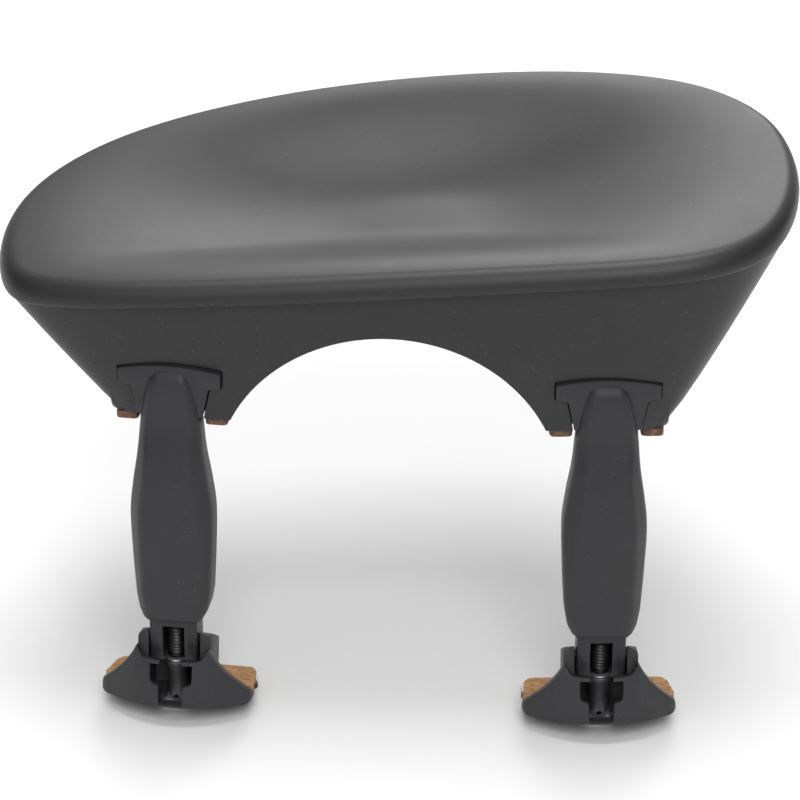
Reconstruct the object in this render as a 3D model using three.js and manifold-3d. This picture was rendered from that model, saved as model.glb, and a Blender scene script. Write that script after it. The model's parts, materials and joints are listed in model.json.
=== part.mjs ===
// Centre-mounted chin rest for a violin: a dished plate on two cork pads, and two
// legs whose screws pull a tilting foot up against the back of the instrument.
// Millimetres. +Z up, -Y towards the player, X along the line of the two legs.
// The origin is midway between the legs, level with the underside of the plate's corks.
import * as THREE from "three";
import { mergeVertices } from "three/addons/utils/BufferGeometryUtils.js";
import Module from "manifold-3d";

const wasm = await Module();
wasm.setup();

// ---- driving dimensions ----
const legOffset = 29.7; // from the middle of the plate to each leg
const legYaw = THREE.MathUtils.degToRad(5.1); // each leg faces a little outwards
const seatCork = 1.1; // thickness of the corks under the plate
const glueGap = 0.05; // film between a cork and what it is stuck to
const partGap = 0.3; // clearance round a piece that sits in a pocket

const rimFront = 23.6; // height of the rim's ridge at the front middle
const rimRiseX = 0.084; // the rim rises to the right
const rimRiseY = 0.08; // and to the back
const dishDepth = 6.5;
const dishSpread = 0.86; // share of the way to the middle over which the dish falls
const shellWall = 2.4;
const ringPoints = 72; // points round each ring of the plate
const dishCentre = new THREE.Vector2(2, 28);

const archHalf = 23.5; // half axes of the tailpiece arch
const archRise = 21.9;
const archTop = 14;

const headDepth = 3.2; // the T-shaped head of a leg in its pocket
const fixingZ = 7.1; // height of the screw that holds the head in its pocket
const fixingWall = 6; // the back of the wall that this screw goes through

const threadRadius = 1.45;
const screwTop = -5; // upper end of the screw inside the leg
const nutTop = -10.2;
const nutHeight = 3.2;
const screwY = -0.9; // the screw's axis, in front of the leg's own origin
const runningGap = 0.06; // radial clearance of the screw in its nut
const sleeveFoot = -29.6; // lower end of the leg's sleeve
const neckWidth = 6.8;
const neckFront = -2.9;
const neckBack = 1.3;
const neckFoot = -36.4;
const tongueTop = -15; // upper end of the tongue inside the sleeve
const slotTop = -30.9; // upper end of the slot through which the screw is seen
const journalRadius = 1.1; // the screw's plain stretch in the floor of the slider
const sliderFloor = -35.85; // upper face of the forked floor that carries the screw
const headTop = -37; // upper face of the screw's collar
const headFoot = -43.9; // lower end of the screw's barrel
const keyHoleZ = -42.9; // height of the cross hole for a pin key
const pivotY = -0.8; // axis on which the foot tilts
const pivotZ = -33.9;
const trunnionRadius = 0.7;
const footTilt = THREE.MathUtils.degToRad(-12); // the foot hangs with its back end down
const footWidth = 21.7;
const footBack = 7.7;
const footBottom = -42.95;
const footPlate = 1.0;
const footWall = 1.3; // thickness of the foot's front wall
const footCork = 1.3;
const hubFront = -2.4; // the two cheeks that hold the slider's trunnions
const hubBack = 3.5;
const roomBack = 2.75;

// ---- joining and cutting ----
function solid(geometry) {
  const bare = geometry.clone();
  bare.deleteAttribute("normal");
  bare.deleteAttribute("uv");
  const merged = mergeVertices(bare, 1e-4);
  return new wasm.Manifold(
    new wasm.Mesh({
      numProp: 3,
      vertProperties: new Float32Array(merged.attributes.position.array),
      triVerts: new Uint32Array(merged.index.array),
    }),
  );
}

function geometryOf(body) {
  const mesh = body.getMesh();
  const geometry = new THREE.BufferGeometry();
  geometry.setAttribute("position", new THREE.BufferAttribute(mesh.vertProperties, 3));
  geometry.setIndex(new THREE.BufferAttribute(mesh.triVerts, 1));
  geometry.computeVertexNormals();
  return geometry;
}

// ---- shapes ----
function block(x0, x1, y0, y1, z0, z1) {
  const box = new THREE.BoxGeometry(x1 - x0, y1 - y0, z1 - z0);
  return box.translate((x0 + x1) / 2, (y0 + y1) / 2, (z0 + z1) / 2);
}

// A round bar along Z, from z0 to z1.
function bar(radius, z0, z1, x = 0, y = 0, sides = 24) {
  const cylinder = new THREE.CylinderGeometry(radius, radius, z1 - z0, sides);
  return cylinder.rotateX(Math.PI / 2).translate(x, y, (z0 + z1) / 2);
}

// A round bar along X or Y through the point (x, y, z).
function barAcross(axis, radius, length, x, y, z, sides = 20) {
  const cylinder = new THREE.CylinderGeometry(radius, radius, length, sides);
  if (axis === "x") cylinder.rotateZ(Math.PI / 2);
  return cylinder.translate(x, y, z);
}

// An outline in X and Z, pushed along Y from y0 to y1.
function plateXZ(shape, y0, y1, steps = 10) {
  const settings = { depth: y1 - y0, bevelEnabled: false, curveSegments: steps };
  const body = new THREE.ExtrudeGeometry(shape, settings);
  return body.rotateX(Math.PI / 2).translate(0, y1, 0);
}

// An outline in X and Y, pushed along Z from z0 to z1.
function plateXY(shape, z0, z1, steps = 8) {
  const settings = { depth: z1 - z0, bevelEnabled: false, curveSegments: steps };
  return new THREE.ExtrudeGeometry(shape, settings).translate(0, 0, z0);
}

function outline(points) {
  return new THREE.Shape(points.map(([x, y]) => new THREE.Vector2(x, y)));
}

// A closed skin through rings of equal length, from the lowest to the highest,
// with a point that closes each end.
function skin(rings, low, high) {
  const count = rings[0].length;
  const points = [low, ...rings.flat(), high];
  const faces = [];
  const top = points.length - 1;
  for (let i = 0; i < count; i++) {
    const next = (i + 1) % count;
    faces.push(0, 1 + next, 1 + i);
    for (let ring = 0; ring < rings.length - 1; ring++) {
      const a = 1 + ring * count;
      const b = a + count;
      faces.push(a + i, a + next, b + next, a + i, b + next, b + i);
    }
    const last = 1 + (rings.length - 1) * count;
    faces.push(last + i, last + next, top);
  }
  const geometry = new THREE.BufferGeometry().setFromPoints(points);
  geometry.setIndex(faces);
  return geometry;
}

// ---- chin plate ----
// The rim seen from above, from the front middle round by the right end, and below
// each point the place where the body meets the level of the pads.
const rimPlan = [
  [0, -1.6], [20, -1.5], [37, -0.8], [46.5, 2.5], [52, 9], [54.7, 20], [54, 32],
  [50, 43], [40, 52.7], [24, 58], [5, 59], [-14, 56.8], [-31, 51.3], [-44.5, 42.7],
  [-53, 30.5], [-55, 17], [-52, 5], [-45, 1], [-36, -0.8], [-20, -1.6],
];
const basePlan = [
  [0, -1.3], [20, -0.7], [32, 0.2], [36.6, 1.5], [37.8, 5.5], [37.8, 12], [36.5, 20],
  [33, 27], [26, 32], [15, 34.5], [2, 35], [-12, 34.5], [-24, 32], [-32, 27],
  [-36.3, 20], [-37.8, 12], [-37.8, 5.5], [-36.6, 1.5], [-32, 0.2], [-20, -0.7],
];

function closedCurve(plan) {
  return new THREE.CatmullRomCurve3(plan.map(([x, y]) => new THREE.Vector3(x, y, 0)), true);
}

const rimCurve = closedCurve(rimPlan);
const baseCurve = closedCurve(basePlan);

function rimHeight(x, y) {
  return rimFront + rimRiseX * x + rimRiseY * y;
}

// A ring that follows a curve at a distance inside it.
function insetRing(curve, inset, heightAt) {
  const ring = [];
  for (let i = 0; i < ringPoints; i++) {
    const point = curve.getPoint(i / ringPoints);
    const along = curve.getTangent(i / ringPoints);
    const x = point.x - along.y * inset;
    const y = point.y + along.x * inset;
    ring.push(new THREE.Vector3(x, y, heightAt(x, y)));
  }
  return ring;
}

function dishDrop(reach) {
  const t = Math.min(1, (1 - reach) / dishSpread);
  return dishDepth * t * t * (3 - 2 * t);
}

// A ring of the dish: reach is 1 at the ridge and 0 in the middle.
function dishRing(ridge, reach, below) {
  return ridge.map((point) => {
    const x = dishCentre.x + (point.x - dishCentre.x) * reach;
    const y = dishCentre.y + (point.y - dishCentre.y) * reach;
    return new THREE.Vector3(x, y, rimHeight(x, y) - dishDrop(reach) - below);
  });
}

function plateBody() {
  const lip = [[1.5, -3.4], [0.5, -3.0], [0, -1.9], [0.2, -0.9], [0.9, -0.3], [1.9, -0.04]];
  const rings = [insetRing(baseCurve, 0, () => seatCork)];
  for (const [inset, drop] of lip) {
    rings.push(insetRing(rimCurve, inset, (x, y) => rimHeight(x, y) + drop));
  }
  const ridge = insetRing(rimCurve, 3, rimHeight);
  for (const reach of [1, 0.93, 0.85, 0.76, 0.65, 0.52, 0.37, 0.2]) {
    rings.push(dishRing(ridge, reach, 0));
  }
  const low = new THREE.Vector3(0, 15, seatCork);
  const high = dishRing([new THREE.Vector3()], 0, 0)[0];
  return solid(skin(rings, low, high));
}

// A ring inside the skirt, part of the way from the base's curve up to the rim's.
function skirtRing(share, inset) {
  const base = insetRing(baseCurve, inset, () => seatCork);
  const brow = insetRing(rimCurve, inset + 1.5, (x, y) => rimHeight(x, y) - 3.4);
  return base.map((point, i) => point.clone().lerp(brow[i], share));
}

// The room under the dish, inside the walls.
function plateHollow() {
  const wall = shellWall;
  const ridge = insetRing(rimCurve, 3, rimHeight);
  const rings = [
    insetRing(baseCurve, wall, () => -2),
    insetRing(baseCurve, wall, () => seatCork),
    skirtRing(0.8, 1.25 * wall),
  ];
  for (const reach of [0.87, 0.7, 0.5, 0.25]) {
    rings.push(dishRing(ridge, reach, wall));
  }
  const low = new THREE.Vector3(0, 15, -2);
  const high = dishRing([new THREE.Vector3()], 0, wall)[0];
  return solid(skin(rings, low, high));
}

// What is taken away behind the pads: the body's lower edge climbs to the back rim.
function underCut(lift) {
  const side = new THREE.Shape();
  side.moveTo(14.6, -6);
  side.lineTo(14.6, seatCork + lift);
  side.quadraticCurveTo(22, 16 + lift, 66, 22.5 + lift);
  side.lineTo(66, -6);
  const settings = { depth: 130, bevelEnabled: false, curveSegments: 14 };
  const body = new THREE.ExtrudeGeometry(side, settings);
  return solid(body.rotateX(Math.PI / 2).rotateZ(Math.PI / 2).translate(-65, 0, 0));
}

function tailpieceArch() {
  const shape = new THREE.Shape();
  shape.absellipse(0, archTop - archRise, archHalf, archRise, 0, Math.PI, false, 0);
  return solid(plateXZ(shape, -5, 66, 40));
}

function legSpace(side) {
  const space = new THREE.Group();
  space.position.x = side * legOffset;
  space.rotation.z = side * legYaw;
  space.updateMatrixWorld(true);
  return space;
}

function atLeg(side, geometry) {
  return solid(geometry.clone().applyMatrix4(legSpace(side).matrixWorld));
}

// The T-shaped head of a leg, grown by a gap where it is the pocket for one.
function headOutline(gap) {
  const shape = new THREE.Shape();
  const arm = 7.1 + gap;
  shape.moveTo(-arm, 5.9 - gap);
  shape.lineTo(-arm, 8.1 + gap);
  shape.quadraticCurveTo(0, 9.7 + gap, arm, 8.1 + gap);
  shape.lineTo(arm, 5.9 - gap);
  shape.lineTo(5.4 + gap, 5.7 - gap);
  shape.lineTo(4.5 + gap, 1.4);
  shape.lineTo(4.4 + gap, -2);
  shape.lineTo(-4.4 - gap, -2);
  shape.lineTo(-4.5 - gap, 1.4);
  shape.lineTo(-5.4 - gap, 5.7 - gap);
  return shape;
}

function chinPlate() {
  const body = plateBody();
  let inside = solid(block(-37, 37, 22, 23.4, 4, 30));
  for (const side of [-1, 1]) {
    inside = inside.add(atLeg(side, block(-8.4, 8.4, 0.6, fixingWall, 0, 20)));
    inside = inside.add(atLeg(side, block(-8.4, 8.4, 0.6, 13.2, 0, 4)));
    for (const x of [-5.5, 5.5]) {
      inside = inside.add(atLeg(side, block(x - 0.7, x + 0.7, 4, 46, 2, 30)));
    }
  }
  const ribs = body.intersect(inside).subtract(underCut(1.2));
  let plate = body.subtract(plateHollow()).subtract(underCut(0)).add(ribs);
  plate = plate.subtract(tailpieceArch());
  for (const side of [-1, 1]) {
    plate = plate.subtract(atLeg(side, plateXZ(headOutline(partGap), -4, headDepth + partGap)));
    plate = plate.subtract(atLeg(side, barAcross("y", 0.8, 8, 0, 5, fixingZ)));
  }
  return plate;
}

// ---- corks ----
function plateCork() {
  const shape = outline([
    [-7.3, 0.4], [-7.75, 0.9], [-7.75, 11.6], [-6.9, 12.6], [6.9, 12.6], [7.75, 11.6],
    [7.75, 0.9], [7.3, 0.4], [4.7, 0.4], [4.7, 4.2], [-4.7, 4.2], [-4.7, 0.4],
  ].reverse());
  return solid(plateXY(shape, 0, seatCork - glueGap));
}

// The foot's outline seen from above: a nose in front and cut corners behind.
function footPlan() {
  const half = footWidth / 2;
  const shape = new THREE.Shape();
  shape.moveTo(-half, 0.2);
  shape.quadraticCurveTo(-half, -1.0, -half + 1.6, -1.7);
  shape.quadraticCurveTo(0, -8.2, half - 1.6, -1.7);
  shape.quadraticCurveTo(half, -1.0, half, 0.2);
  shape.lineTo(half, footBack - 2.9);
  shape.lineTo(half - 1.4, footBack);
  shape.lineTo(-half + 1.4, footBack);
  shape.lineTo(-half, footBack - 2.9);
  return shape;
}

// ---- leg ----
// One level of the sleeve: an oblong with cut corners.
function sleeveRing([z, half, front, back, cut]) {
  const corners = [
    [half - cut, front], [half, front + cut], [half, back - 0.7], [half - 0.7, back],
    [-half + 0.7, back], [-half, back - 0.7], [-half, front + cut], [-half + cut, front],
  ];
  return corners.map(([x, y]) => new THREE.Vector3(x, y, z));
}

function legHousing() {
  const levels = [
    [-29.6, 3.75, -3.7, 2.4, 0.5], [-29.2, 4.3, -3.9, 2.5, 0.8], [-28.2, 4.85, -4.0, 2.6, 1.2],
    [-26, 5.25, -4.0, 2.6, 1.4], [-20, 5.6, -4.05, 2.6, 1.6], [-13, 5.8, -4.0, 2.6, 1.8],
    [-8.4, 5.3, -3.75, 2.6, 1.8], [-4.2, 4.65, -3.1, 2.6, 1.5], [-0.6, 4.35, -2.0, 2.6, 1.2],
    [2.2, 4.05, -1.7, 3.0, 1.1], [5.0, 3.75, -1.45, 3.1, 1.2], [6.8, 3.4, -1.15, 3.1, 1.2],
    [8.1, 2.4, -0.5, 3.1, 0.6],
  ];
  const rings = levels.map(sleeveRing);
  const low = new THREE.Vector3(0, -0.9, sleeveFoot);
  const high = new THREE.Vector3(0, 1, 8.1);
  let body = solid(skin(rings, low, high));
  const head = solid(plateXZ(headOutline(0), -0.45, headDepth));
  body = body.add(head.subtract(solid(block(-9, 9, -2, 4, -3, 1.4))));
  body = body.subtract(solid(bar(threadRadius + 0.2, -11, -4.0, 0, screwY)));
  const half = neckWidth / 2 + 0.12;
  body = body.subtract(solid(block(-half, half, neckFront - 0.12, neckBack + 0.12, -32, nutTop + 0.2)));
  return body.subtract(solid(barAcross("y", 0.56, 5, 0, headDepth, fixingZ, 16)));
}

function legNut() {
  const half = neckWidth / 2;
  const body = solid(block(-half, half, neckFront, neckBack, nutTop - nutHeight, nutTop));
  return body.subtract(solid(bar(threadRadius + runningGap, -16, 0, 0, screwY)));
}

function fixingScrew() {
  const shank = solid(barAcross("y", 0.5, 5.4, 0, fixingWall - 1.9, fixingZ, 16));
  const head = solid(barAcross("y", 1.4, 0.9, 0, fixingWall + 0.75, fixingZ, 20));
  const slot = solid(block(-1.6, 1.6, fixingWall + 0.85, fixingWall + 2, fixingZ - 0.2, fixingZ + 0.2));
  return shank.add(head).subtract(slot);
}

// The tongue that slides in the sleeve: a channel for the screw, a slot that shows it,
// a forked floor that carries it, and a trunnion on each side for the foot.
function footSlider() {
  const half = neckWidth / 2;
  const fork = journalRadius + 0.12;
  let body = solid(block(-half, half, neckFront, neckBack, neckFoot, tongueTop));
  body = body.subtract(solid(block(-1.6, 1.6, neckFront + 0.4, 0.75, sliderFloor, tongueTop + 1)));
  body = body.subtract(solid(block(-1.55, 1.55, neckFront - 1, 0, sliderFloor, slotTop)));
  body = body.subtract(solid(block(-fork, fork, neckFront - 1, screwY, neckFoot - 1, sliderFloor + 1)));
  body = body.subtract(solid(bar(fork, neckFoot - 1, sliderFloor + 1, 0, screwY)));
  const trunnions = solid(barAcross("x", trunnionRadius, neckWidth + 1.9, 0, pivotY, pivotZ));
  const between = solid(block(-half + 0.5, half - 0.5, -4, 2, pivotZ - 2, pivotZ + 2));
  return body.add(trunnions.subtract(between));
}

function clampScrew() {
  const thread = solid(bar(threadRadius, sliderFloor + 0.15, screwTop - 0.6, 0, screwY));
  const point = solid(bar(threadRadius - 0.4, screwTop - 1, screwTop, 0, screwY));
  const journal = solid(bar(journalRadius, headTop - 2, sliderFloor + 0.35, 0, screwY));
  return thread.add(point).add(journal);
}

// The lower end of the screw: a collar that tapers to a barrel, and a cross hole for a pin key.
function driveHead() {
  const profile = [
    [0, headFoot], [0.7, headFoot + 0.05], [1.1, headFoot + 0.35], [1.32, headFoot + 0.9],
    [1.38, headFoot + 1.5], [1.38, headTop - 1.9], [1.75, headTop - 0.5], [1.75, headTop], [0, headTop],
  ].map(([radius, z]) => new THREE.Vector2(radius, z));
  const turned = new THREE.LatheGeometry(profile, 24).rotateX(Math.PI / 2);
  const body = solid(turned.translate(0, screwY, 0));
  const bore = solid(bar(journalRadius + 0.02, headTop - 2.02, headTop + 1, 0, screwY));
  return body.subtract(bore).subtract(solid(barAcross("y", 0.38, 4, 0, screwY, keyHoleZ, 14)));
}

function thrustWasher() {
  const body = solid(bar(1.75, headTop + 0.15, neckFoot - 0.05, 0, screwY));
  return body.subtract(solid(bar(journalRadius + 0.12, headTop - 1, headTop + 1, 0, screwY)));
}

// ---- foot, in its own untilted place ----
// Half an outline, closed by its mirror image.
function mirrored(points) {
  const other = points.map(([x, z]) => [-x, z]).reverse();
  return outline([...points, ...other]);
}

// The front wall: it flares from the cheeks down to the full width of the foot.
function footWallOutline() {
  const half = footWidth / 2;
  const base = footBottom;
  const shape = new THREE.Shape();
  shape.moveTo(-half + 1, base);
  shape.lineTo(-half, base + 1.1);
  shape.lineTo(-half + 0.25, base + 2.0);
  shape.quadraticCurveTo(-6.6, base + 5.4, -5.3, base + 8.3);
  shape.lineTo(-5.2, base + 8.5);
  shape.lineTo(-4, base + 6.9);
  shape.lineTo(4, base + 6.9);
  shape.lineTo(5.2, base + 8.5);
  shape.lineTo(5.3, base + 8.3);
  shape.quadraticCurveTo(6.6, base + 5.4, half - 0.25, base + 2.0);
  shape.lineTo(half, base + 1.1);
  shape.lineTo(half - 1, base);
  return shape;
}

// The window in the front wall, through which the barrel is turned.
function footWindow() {
  const base = footBottom;
  const shape = mirrored([
    [1.7, base + 0.4], [1.8, base + 3.0], [2.5, base + 3.25], [3, base + 3.9],
    [3.05, base + 6.35], [1.6, base + 6.35], [1.6, base + 8],
  ]);
  return solid(plateXZ(shape, -9, hubFront, 4));
}

// The two cheeks, with sloping tops, and the wall that joins them behind the barrel.
function footHub() {
  const shape = mirrored([[5.25, footBottom], [5.2, -33.3], [4.7, -32.8], [3.5, -32.1]]);
  const cheeks = solid(plateXZ(shape, hubFront, hubBack, 4));
  const sill = solid(block(-5.25, 5.25, -4.4, hubFront + 0.1, footBottom, footBottom + 6.2));
  const slope = solid(new THREE.BoxGeometry(20, 14, 6).rotateX(-0.42).translate(0, 5.0, -32.15));
  return cheeks.add(sill).subtract(slope);
}

function clampFoot() {
  const plan = solid(plateXY(footPlan(), footBottom, -30, 10));
  const shell = solid(plateXZ(footWallOutline(), -9, 15, 8)).intersect(plan);
  const inside = plan.translate([0, footWall, footPlate]);
  const room = neckWidth / 2 + 0.3;
  const floor = footBottom + footPlate;
  let body = shell.subtract(inside).add(footHub().intersect(plan));
  body = body.subtract(solid(block(-room, room, -4.95 + footWall, roomBack, floor, -30)));
  body = body.subtract(solid(block(-1.48, 1.48, -2.75, roomBack + 0.25, footBottom - 1, floor + 0.5)));
  body = body.subtract(solid(barAcross("x", trunnionRadius + 0.1, neckWidth + 2.3, 0, pivotY, pivotZ)));
  return body.subtract(footWindow());
}

// The cork lies behind the front wall and round the cheeks.
function footCorkPad() {
  const low = footBottom + footPlate + glueGap;
  const plan = solid(plateXY(footPlan(), low, low + footCork, 10));
  const behindWall = plan.translate([0, footWall + partGap, 0]);
  return plan.intersect(behindWall).subtract(solid(block(-5.6, 5.6, -9, hubBack + 0.3, -50, -30)));
}

// ---- finishes ----
const finishes = {
  plate: { color: 0x1c1c1e, roughness: 0.55, metalness: 0 },
  leg: { color: 0x1a1a1c, roughness: 0.5, metalness: 0 },
  slider: { color: 0x2b2b2e, roughness: 0.45, metalness: 0 },
  foot: { color: 0x232325, roughness: 0.5, metalness: 0 },
  screw: { color: 0x151516, roughness: 0.4, metalness: 0.9 },
  head: { color: 0x3a3b3d, roughness: 0.42, metalness: 0.9 },
  nut: { color: 0xb08d4f, roughness: 0.35, metalness: 1 },
  steel: { color: 0x9a9c9e, roughness: 0.3, metalness: 1 },
  cork: { color: 0xc49a6c, roughness: 0.9, metalness: 0 },
};

function part(name, body, finish) {
  const mesh = new THREE.Mesh(geometryOf(body), new THREE.MeshStandardMaterial(finishes[finish]));
  mesh.name = name;
  return mesh;
}

function leg(label, side) {
  const group = legSpace(side);
  group.add(part(label + "_leg_housing", legHousing(), "leg"));
  group.add(part(label + "_leg_nut", legNut(), "nut"));
  group.add(part(label + "_fixing_screw", fixingScrew(), "steel"));
  group.add(part(label + "_plate_cork", plateCork(), "cork"));
  group.add(part(label + "_foot_slider", footSlider(), "slider"));
  group.add(part(label + "_clamp_screw", clampScrew(), "screw"));
  group.add(part(label + "_screw_head", driveHead(), "head"));
  group.add(part(label + "_thrust_washer", thrustWasher(), "steel"));
  const foot = new THREE.Group();
  foot.add(part(label + "_clamp_foot", clampFoot(), "foot"));
  foot.add(part(label + "_foot_cork", footCorkPad(), "cork"));
  for (const piece of foot.children) {
    piece.position.set(0, -pivotY, -pivotZ);
  }
  foot.position.set(0, pivotY, pivotZ);
  foot.rotation.x = footTilt;
  group.add(foot);
  return group;
}

const chinRest = new THREE.Group();
chinRest.add(part("chin_plate", chinPlate(), "plate"));
chinRest.add(leg("left", -1));
chinRest.add(leg("right", 1));

export default chinRest;
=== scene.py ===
import json
import math

import bmesh
import bpy
import numpy as np
from mathutils import Matrix, Vector

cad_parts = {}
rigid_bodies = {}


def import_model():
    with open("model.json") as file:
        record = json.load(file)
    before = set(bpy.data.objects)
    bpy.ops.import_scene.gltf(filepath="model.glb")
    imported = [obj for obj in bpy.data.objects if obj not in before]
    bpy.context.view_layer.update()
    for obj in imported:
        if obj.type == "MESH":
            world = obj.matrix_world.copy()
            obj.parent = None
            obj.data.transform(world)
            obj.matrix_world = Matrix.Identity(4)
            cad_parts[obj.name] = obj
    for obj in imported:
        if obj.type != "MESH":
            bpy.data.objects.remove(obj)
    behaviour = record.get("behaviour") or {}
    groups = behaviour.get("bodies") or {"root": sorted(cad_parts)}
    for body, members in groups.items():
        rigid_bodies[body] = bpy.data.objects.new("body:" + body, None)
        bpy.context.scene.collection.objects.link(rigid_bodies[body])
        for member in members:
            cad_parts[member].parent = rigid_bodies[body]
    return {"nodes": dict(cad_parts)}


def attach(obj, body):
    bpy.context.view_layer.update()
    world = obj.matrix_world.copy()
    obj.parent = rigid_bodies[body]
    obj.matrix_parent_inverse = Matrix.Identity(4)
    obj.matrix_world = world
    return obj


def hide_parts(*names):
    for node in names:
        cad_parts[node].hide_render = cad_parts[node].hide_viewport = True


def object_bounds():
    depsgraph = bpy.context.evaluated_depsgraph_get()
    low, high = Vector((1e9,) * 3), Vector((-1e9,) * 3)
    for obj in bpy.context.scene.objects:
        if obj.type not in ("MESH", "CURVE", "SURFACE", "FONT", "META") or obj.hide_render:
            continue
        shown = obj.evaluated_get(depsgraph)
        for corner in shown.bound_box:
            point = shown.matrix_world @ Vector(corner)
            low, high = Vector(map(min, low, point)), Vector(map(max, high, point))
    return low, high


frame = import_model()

cadBox = [list(corner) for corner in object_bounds()]
mm = 0.001
sharpFrom = math.radians(38)  # edges steeper than this stay sharp in the shading
scene = bpy.context.scene


# Camera, lights and floor
cameraSetup = {"azimuth": 4.1, "elevation": 28.0, "distance": 0.45, "lens": 149.85,
               "shift": 0.015, "aim": (0.0, 0.0, 4.7 * mm)}
lights = {
    # name: (place, size across, watts)
    "overhead": ((0.0, 0.08, 0.60), 0.26, 2.0),
    "backPanel": ((0.05, 0.68, 0.42), 0.40, 2.0),
    "frontBox": ((0.08, -0.46, 0.50), 0.36, 1.9),
}
studio = {"ceiling": 0.62, "sides": 0.08, "reach": (0.40, 0.85), "floor": (0.90, 0.90, 0.90),
          "floorHalf": 3.0, "floorDeep": 0.01, "floorGap": 0.5 * mm}


def addCamera():
    turn, lift = (math.radians(cameraSetup[key]) for key in ("azimuth", "elevation"))
    back = Vector((math.sin(turn) * math.cos(lift), -math.cos(turn) * math.cos(lift), math.sin(lift)))
    data = bpy.data.cameras.new("mainCamera")
    data.lens = cameraSetup["lens"]
    data.shift_x = cameraSetup["shift"]
    data.clip_start = 0.01
    camera = bpy.data.objects.new("mainCamera", data)
    camera.location = Vector(cameraSetup["aim"]) + back * cameraSetup["distance"]
    camera.rotation_euler = back.to_track_quat("Z", "Y").to_euler()
    scene.collection.objects.link(camera)
    scene.camera = camera


def addLights():
    for name, (place, size, watts) in lights.items():
        data = bpy.data.lights.new(name, "AREA")
        data.size = size
        data.energy = watts
        light = bpy.data.objects.new(name, data)
        light.location = place
        light.rotation_euler = (Vector(place) - Vector((0, 0.02, 0.01))).to_track_quat("Z", "Y").to_euler()
        scene.collection.objects.link(light)
    world = bpy.data.worlds.new("studio")
    world.use_nodes = True
    tree = world.node_tree
    direction = tree.nodes.new("ShaderNodeTexCoord")
    axes = tree.nodes.new("ShaderNodeSeparateXYZ")
    sideways = tree.nodes.new("ShaderNodeMath")
    sideways.operation = "ABSOLUTE"
    fade = tree.nodes.new("ShaderNodeMapRange")  # dark cards stand at both sides of the white tent
    fade.interpolation_type = "SMOOTHSTEP"
    fade.inputs["From Min"].default_value, fade.inputs["From Max"].default_value = studio["reach"]
    fade.inputs["To Min"].default_value = studio["ceiling"]
    fade.inputs["To Max"].default_value = studio["sides"]
    tree.links.new(direction.outputs["Generated"], axes.inputs[0])
    tree.links.new(axes.outputs["X"], sideways.inputs[0])
    tree.links.new(sideways.outputs[0], fade.inputs["Value"])
    tree.links.new(fade.outputs["Result"], tree.nodes["Background"].inputs["Strength"])
    tree.nodes["Background"].inputs["Color"].default_value = (1.0, 1.0, 1.0, 1.0)
    scene.world = world
    scene.view_settings.view_transform = "Standard"


class Link:  # a socket that joins in ordinary sums
    def __init__(self, look, socket):
        self.look = look
        self.socket = socket

    def sum(self, operation, a, b):
        return self.look.add("ShaderNodeMath", {"operation": operation}, {0: a, 1: b})

    def __add__(self, other):
        return self.sum("ADD", self, other)

    def __sub__(self, other):
        return self.sum("SUBTRACT", self, other)

    def __rsub__(self, other):
        return self.sum("SUBTRACT", other, self)

    def __mul__(self, other):
        return self.sum("MULTIPLY", self, other)

    __radd__ = __add__
    __rmul__ = __mul__


class Look:  # one material and the nodes that feed its shader
    def __init__(self, name):
        self.material = bpy.data.materials.new(name)
        self.material.use_nodes = True
        self.tree = self.material.node_tree
        self.shader = self.tree.nodes["Principled BSDF"]
        coordinates = self.tree.nodes.new("ShaderNodeTexCoord")
        self.place = Link(self, coordinates.outputs["Object"])

    def add(self, kind, settings, sockets, out=0):
        node = self.tree.nodes.new(kind)
        for key, value in settings.items():
            if key == "stops":
                ramp = node.color_ramp
                while len(ramp.elements) < len(value):
                    ramp.elements.new(0.5)
                for element, (position, colour) in zip(ramp.elements, value):
                    element.position = position
                    element.color = (*colour, 1.0)
            else:
                setattr(node, key, value)
        for key, value in sockets.items():
            self.feed(node.inputs[key], value)
        return Link(self, node.outputs[out])

    def feed(self, socket, value):
        if isinstance(value, Link):
            self.tree.links.new(value.socket, socket)
        elif isinstance(value, tuple) and len(value) == 3 and socket.type == "RGBA":
            socket.default_value = (*value, 1.0)
        else:
            socket.default_value = value

    def noise(self, scale, detail=2.0, roughness=0.5):
        sockets = {"Vector": self.place, "Scale": scale, "Detail": detail, "Roughness": roughness}
        return self.add("ShaderNodeTexNoise", {}, sockets)

    def ramp(self, value, stops):
        return self.add("ShaderNodeValToRGB", {"stops": stops}, {"Fac": value})

    def mask(self, value, low, high):
        return self.ramp(value, [(low, (0, 0, 0)), (high, (1, 1, 1))])

    def mix(self, share, first, second):
        return self.add("ShaderNodeMix", {"data_type": "RGBA"}, {0: share, 6: first, 7: second}, out=2)

    def bump(self, height, strength, distance):
        return self.add("ShaderNodeBump", {}, {"Height": height, "Strength": strength, "Distance": distance})

    def finish(self, **sockets):
        for key, value in sockets.items():
            self.feed(self.shader.inputs[key.replace("_", " ")], value)
        return self.material


def mouldedPlastic(name, dark, light, roughness, grain, depth):
    # spark-eroded black moulding: a fine even grain, faint flow clouds and pale dust specks
    look = Look(name)
    fine = look.noise(grain, 2.0, 0.6)
    cloud = look.noise(90.0, 3.0, 0.55)
    speck = look.mask(look.noise(grain * 0.42, 1.0), 0.68, 0.78)
    colour = look.mix(cloud, dark, light)
    colour = look.mix(speck * 0.4, colour, tuple(3.0 * c for c in light))
    rough = roughness + (cloud - 0.5) * 0.10 + (fine - 0.5) * 0.16
    look.shader.inputs["Specular IOR Level"].default_value = 0.38
    return look.finish(Base_Color=colour, Roughness=rough, Normal=look.bump(fine, 0.35, depth))


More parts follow.
